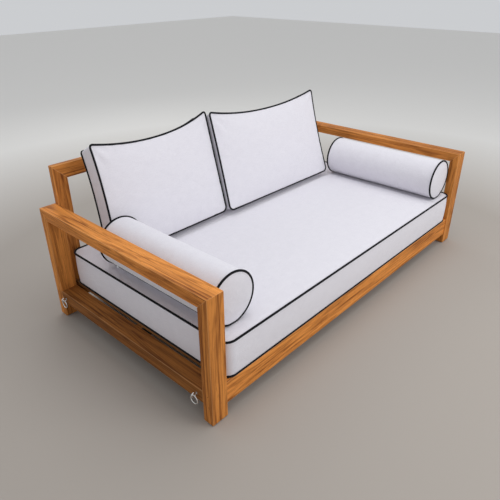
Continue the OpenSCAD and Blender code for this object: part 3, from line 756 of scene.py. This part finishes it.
def pipingPiece(name, loops):
    curve = bpy.data.curves.new(name + "Path", "CURVE")
    curve.dimensions = "3D"
    for loop in loops:
        spline = curve.splines.new("POLY")
        spline.points.add(len(loop) - 1)
        for point, place in zip(spline.points, loop):
            point.co = (*place, 1)
        spline.use_cyclic_u = True
    path = bpy.data.objects.new(name + "Path", curve)
    bpy.context.scene.collection.objects.link(path)
    modifier = path.modifiers.new("piping", "NODES")
    modifier.node_group = pipingTree
    modifier[pipingInputs["Diameter"]] = 2 * pipingRadius
    modifier[pipingInputs["Sides"]] = 12
    modifier[pipingInputs["Material"]] = pipingCloth
    return plainMesh(path, name)


def ripple(x, y, scale, seed):
    return noise.noise(Vector((x * scale + seed, y * scale - seed, seed * 0.37)))


# ---- mattress

mattress = {
    "radius": 0.045,
    "crown": 0.011,
    "topRipple": 0.0016,
    "sideBulge": 0.0035,
    "sideRipple": 0.0008,
    "pressDepth": 0.0012,  # how far a load presses the top below its seam
    "bolsterHalf": 0.045,  # half the width that a bolster presses flat
    "bolsterSoft": 0.05,
    "footDepth": 0.13,
    "footSoft": 0.035,
    "counts": (150, 90),
    "boxingRings": 16,
}


def makeMattress():
    low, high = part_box("mattress_cover")
    pipingLow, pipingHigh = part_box("mattress_piping")
    topSeam = pipingHigh.z - pipingCore
    lowSeam = pipingLow.z + pipingCore
    width = high.x - low.x
    length = high.y - low.y
    grid = panelGrid(width, length, (mattress["radius"],) * 4, mattress["counts"], (0, 0, 0, 0))
    pressed = []
    for side in ("left", "right"):
        bolsterLow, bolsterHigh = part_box(side + "_bolster_cover")
        middle = (bolsterLow.x + bolsterHigh.x) / 2
        half = mattress["bolsterHalf"]
        pressed.append((middle - half, middle + half, bolsterLow.y, bolsterHigh.y, mattress["bolsterSoft"]))
        footLow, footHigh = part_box(side + "_cushion_piping")
        footBack = footLow.y + mattress["footDepth"]
        pressed.append((footLow.x, footHigh.x, footLow.y - 0.004, footBack, mattress["footSoft"]))

    def underLoad(x, y):
        # 1 under a bolster or a cushion's foot, falling to 0 beside it
        most = 0.0
        for x0, x1, y0, y1, soft in pressed:
            away = math.hypot(max(x0 - x, 0, x - x1), max(y0 - y, 0, y - y1))
            share = max(0.0, 1 - away / soft)
            most = max(most, share * share * (3 - 2 * share))
        return most

    def topRise(a, b, u, v):
        x, y = low.x + a, low.y + b
        edge = crownShape(u, v, 7, 0.9)
        rise = mattress["crown"] * edge
        rise += mattress["topRipple"] * ripple(x, y, 3.1, 2.0) * edge
        load = underLoad(x, y)
        return rise * (1 - load) - mattress["pressDepth"] * load * edge

    def lowRise(a, b, u, v):
        return -(lowSeam - low.z) * min(1.0, 6 * crownShape(u, v, 8, 0.7))

    def push(reach, share, outward):
        if outward.y > 0.3:
            return 0.0  # flat at the back, where the zip lies
        swell = math.sin(math.pi * share)
        amount = mattress["sideBulge"] * swell
        return amount + mattress["sideRipple"] * noise.noise(Vector((reach * 9, share * 2, 4))) * swell

    def place(a, depth, b):
        return Vector((low.x + a, low.y + b, topSeam - depth))

    # depth runs downwards here, so the rise of each panel turns over
    piece, topLoop, lowLoop = boxedPad(
        "mattressCover", grid, topSeam - lowSeam,
        lambda a, b, u, v: -topRise(a, b, u, v), lambda a, b, u, v: -lowRise(a, b, u, v),
        push, place, coverCloth, mattress["boxingRings"])
    takeOver(piece, "mattress", "cover_fabric", "mattress_cover", "mattress_core")
    piping = pipingPiece("mattressPiping", [topLoop, lowLoop])
    takeOver(piping, "mattress", "piping_fabric", "mattress_piping")


makeMattress()
print("mattress made")


# ---- back cushions

cushion = {
    "height": 0.515,
    "boxing": 0.090,
    "lean": 15.5,
    "radii": (0.030, 0.030, 0.016, 0.016),
    "counts": (110, 84),
    "crownFront": 0.030,
    "crownBack": 0.046,
    "boxingRings": 10,
    "boxingSwell": 0.002,
    "boxingRipple": 0.0012,
    "backDrop": 0.022,
    "ripple": 0.004,
    "pucker": 0.0022,
    "puckerReach": 0.028,
    "fold": 0.0016,
    "foldAway": 0.07,  # from the corner to the middle of its folds
    "foldWidth": 0.05,
}
cushionSags = {
    "left": (0.0, 0.003, 0.040, 0.008),  # bottom, right, top, left
    "right": (0.0, 0.010, 0.037, 0.003),
}
cushionPeaks = {
    "left": (0.0, 0.022),  # how far the top left and top right corners stand up
    "right": (0.016, 0.002),
}
cushionSlump = {"left": 0.0, "right": 0.020}  # how far the low right corner slips forwards
cushionSpread = {"left": 0.022, "right": 0.003}  # how far the low left corner spreads


def makeCushion(side, seed):
    body = side + "_cushion"
    pipingLow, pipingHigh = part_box(side + "_cushion_piping")
    lean = math.radians(cushion["lean"])
    width = pipingHigh.x - pipingLow.x - 2 * pipingCore
    height, depth = cushion["height"], cushion["boxing"]
    origin = Vector((
        pipingLow.x + pipingCore,
        pipingLow.y + pipingCore,
        pipingLow.z + pipingCore + depth * math.sin(lean)))
    grid = panelGrid(width, height, cushion["radii"], cushion["counts"], cushionSags[side])
    leftLift, rightLift = cushionPeaks[side]
    leftSpread = cushionSpread[side]
    for row in grid:
        for point, u, v in row:
            high = ((1 + v) / 2) ** 2
            point.y += (leftLift * ((1 - u) / 2) ** 4 + rightLift * ((1 + u) / 2) ** 4) * high
            point.x -= leftSpread * ((1 - u) / 2) ** 3 * ((1 - v) / 2) ** 1.5

    def puckers(a, b, u, v):
        # short gathers that run in from the seams
        fromSide = (1 - abs(u)) * width / 2
        fromEnd = (1 - abs(v)) * height / 2
        gather = noise.noise(Vector((b * 34, seed, 0))) * math.exp(-fromSide / cushion["puckerReach"])
        gather += noise.noise(Vector((a * 34, seed + 5, 0))) * math.exp(-fromEnd / cushion["puckerReach"])
        near = min(fromSide, fromEnd)
        return cushion["pucker"] * gather * min(1.0, near / 0.006)

    def cornerFolds(a, b, u, v):
        fold = 0.0
        for cx, cz, strength in ((0, height, 1.0), (width, height, 1.0), (0, 0, 0.5), (width, 0, 0.5)):
            away = math.hypot(a - cx, b - cz)
            turn = math.atan2(b - cz, a - cx)
            fade = math.exp(-((away - cushion["foldAway"]) / cushion["foldWidth"]) ** 2)
            fold += strength * math.sin(9 * turn + seed) * fade
        return cushion["fold"] * fold

    def rise(a, b, u, v, crown):
        shape = crownShape(u, v, 2.3, 0.72)
        fuller = 1.0 - 0.10 * v  # a little fuller below the middle
        soft = cushion["ripple"] * ripple(a, b, 4.2, seed) * shape
        small = puckers(a, b, u, v) + cornerFolds(a, b, u, v) * min(1, shape * 6)
        return crown * shape * fuller + soft + small

    def push(reach, share, outward):
        if outward.y < -0.7:
            return 0.0  # flat underneath, where the zip lies
        swell = math.sin(math.pi * share)
        uneven = cushion["boxingRipple"] * noise.noise(Vector((reach * 16, share * 3, seed)))
        return cushion["boxingSwell"] * swell + uneven * swell

    turn = Matrix.Rotation(-lean, 3, "X")

    def place(a, deep, b):
        slump = cushionSlump[side] * max(0.0, a / width) ** 2 * max(0.0, 1 - b / height) ** 1.5
        # the back of the top edge lies a little lower than the front
        drop = cushion["backDrop"] * max(0.0, deep / depth) * max(0.0, b / height) ** 3
        return origin + turn @ Vector((a, deep - slump, b - drop))

    piece, frontLoop, backLoop = boxedPad(
        side + "CushionCover", grid, depth,
        lambda a, b, u, v: -rise(a, b, u, v, cushion["crownFront"]),
        lambda a, b, u, v: rise(a, b, u, v, cushion["crownBack"]),
        push, place, coverCloth, cushion["boxingRings"])
    takeOver(piece, body, "cover_fabric", side + "_cushion_cover", side + "_cushion_filling")
    piping = pipingPiece(side + "CushionPiping", [frontLoop, backLoop])
    takeOver(piping, body, "piping_fabric", side + "_cushion_piping")


makeCushion("left", 3.0)
makeCushion("right", 11.0)
print("back cushions made")


# ---- bolsters

bolster = {
    "around": 144,
    "along": 90,
    "endRings": 18,
    "endCrown": 0.012,
    "gather": 0.0016,
    "gatherReach": 0.035,
    "wobble": 0.0012,
    "settle": 0.0032,  # how far the underside settles on the mattress
    "restGap": 0.0008,
    "zipCalm": 0.35,  # radians beside the zip that stay smooth
}


def makeBolster(side, seed):
    low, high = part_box(side + "_bolster_cover")
    radius = (high.z - low.z) / 2
    middleX = (low.x + high.x) / 2
    middleZ = (low.z + high.z) / 2
    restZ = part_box("mattress_cover")[1].z + bolster["restGap"]
    length = high.y - low.y
    around, along, endRings = bolster["around"], bolster["along"], bolster["endRings"]
    zipAngle = math.radians(225 if side == "left" else 315)
    vertices = []
    faces = []
    laid = []

    def skin(angle, share, reach):
        # radius of the cover at an angle and a share of the length
        fromEnd = min(share, 1 - share) * length
        gather = noise.noise(Vector((math.cos(angle) * 4.4, math.sin(angle) * 4.4, seed + round(share))))
        fade = math.exp(-fromEnd / bolster["gatherReach"]) * min(1, fromEnd / 0.008)
        size = reach + bolster["gather"] * gather * fade
        size += bolster["wobble"] * noise.noise(Vector((math.cos(angle), math.sin(angle), share * 5 + seed)))
        away = abs((angle - zipAngle + math.pi) % (2 * math.pi) - math.pi)
        calm = min(1.0, away / bolster["zipCalm"])
        return reach - 0.0004 + (size - reach) * calm

    def point(angle, y, reach):
        x = middleX + reach * math.cos(angle)
        z = middleZ + reach * math.sin(angle)
        if math.sin(angle) < -0.9 and reach > radius * 0.8:
            z -= bolster["settle"] * (-math.sin(angle) - 0.9) / 0.1
        return Vector((x, y, max(z, restZ)))

    rows = []
    for step in range(along + 1):
        share = step / along
        row = []
        for turn in range(around):
            angle = 2 * math.pi * turn / around
            reach = radius if step in (0, along) else skin(angle, share, radius)
            row.append(len(vertices))
            vertices.append(point(angle, low.y + share * length, reach))
        rows.append(row)
    for step in range(along):
        for turn in range(around):
            follow = (turn + 1) % around
            faces.append((rows[step][turn], rows[step][follow],
                          rows[step + 1][follow], rows[step + 1][turn]))
            girth = 2 * math.pi * radius
            a, b = turn / around * girth, (turn + 1) / around * girth
            c, d = step / along * length, (step + 1) / along * length
            laid.append([(a, c), (b, c), (b, d), (a, d)])
    for last, y, out in ((0, low.y, -1), (along, high.y, 1)):
        inner = rows[last]
        for ring in range(1, endRings):
            share = 1 - ring / endRings
            row = []
            for turn in range(around):
                angle = 2 * math.pi * turn / around
                rise = bolster["endCrown"] * (1 - share ** 2.2) ** 0.8
                uneven = noise.noise(Vector((math.cos(angle) * 5, math.sin(angle) * 5, seed)))
                rise += bolster["wobble"] * uneven * math.exp(-(1 - share) * radius / 0.02)
                row.append(len(vertices))
                vertices.append(point(angle, y + out * rise, radius * share))
            for turn in range(around):
                follow = (turn + 1) % around
                quad = (inner[turn], row[turn], row[follow], inner[follow])
                if out > 0:
                    quad = (inner[follow], row[follow], row[turn], inner[turn])
                faces.append(quad)
                laid.append([(vertices[key].x + 4 * out, vertices[key].z) for key in quad])
            inner = row
        centre = len(vertices)
        vertices.append(Vector((middleX, y + out * bolster["endCrown"], middleZ)))
        for turn in range(around):
            follow = (turn + 1) % around
            three = (inner[turn], centre, inner[follow])
            if out > 0:
                three = (inner[follow], centre, inner[turn])
            faces.append(three)
            laid.append([(vertices[key].x + 4 * out, vertices[key].z) for key in three])
    piece = clothSeat(vertices, faces, laid, side + "BolsterCover", coverCloth)
    takeOver(piece, side + "_bolster", "cover_fabric", side + "_bolster_cover", side + "_bolster_filling")
    loops = []
    for y in (low.y, high.y):
        loop = []
        for turn in range(around):
            angle = 2 * math.pi * turn / around
            reach = radius + pipingProud
            z = max(middleZ + reach * math.sin(angle), restZ + pipingRadius)
            loop.append(Vector((middleX + reach * math.cos(angle), y, z)))
        loops.append(loop)
    piping = pipingPiece(side + "BolsterPiping", loops)
    takeOver(piping, side + "_bolster", "piping_fabric", side + "_bolster_piping")


makeBolster("left", 6.0)
makeBolster("right", 14.0)
print("bolsters made")


# ---- zips, carried over with their own finish


def zipMaterial():
    material, tree, shader = newMaterial("blackZip")
    coordinate = tree.add("ShaderNodeTexCoord").outputs["Object"]
    split = tree.add("ShaderNodeSeparateXYZ", Vector=coordinate)
    run = tree.math("ADD", split.outputs[0], split.outputs[1])
    teeth = tree.math("SINE", tree.math("MULTIPLY", run, 2 * math.pi / 0.0032))
    teeth = tree.stretch(teeth, -0.3, 0.3)
    scuffs = useGroup(tree, scuffGroup, Vector=coordinate, Tone=(0.02, 0.02, 0.022, 1), Rough=0.55,
                      Strength=0.2)
    tree.feed(shader.inputs["Base Color"], scuffs["Color"])
    tree.feed(shader.inputs["Roughness"], scuffs["Roughness"])
    bump(tree, shader, teeth, 0.0006, 0.8)
    return material


blackZip = zipMaterial()
for soft in ("mattress", "left_cushion", "right_cushion", "left_bolster", "right_bolster"):
    carryOver(soft + "_zip", blackZip)
print("zips finished")
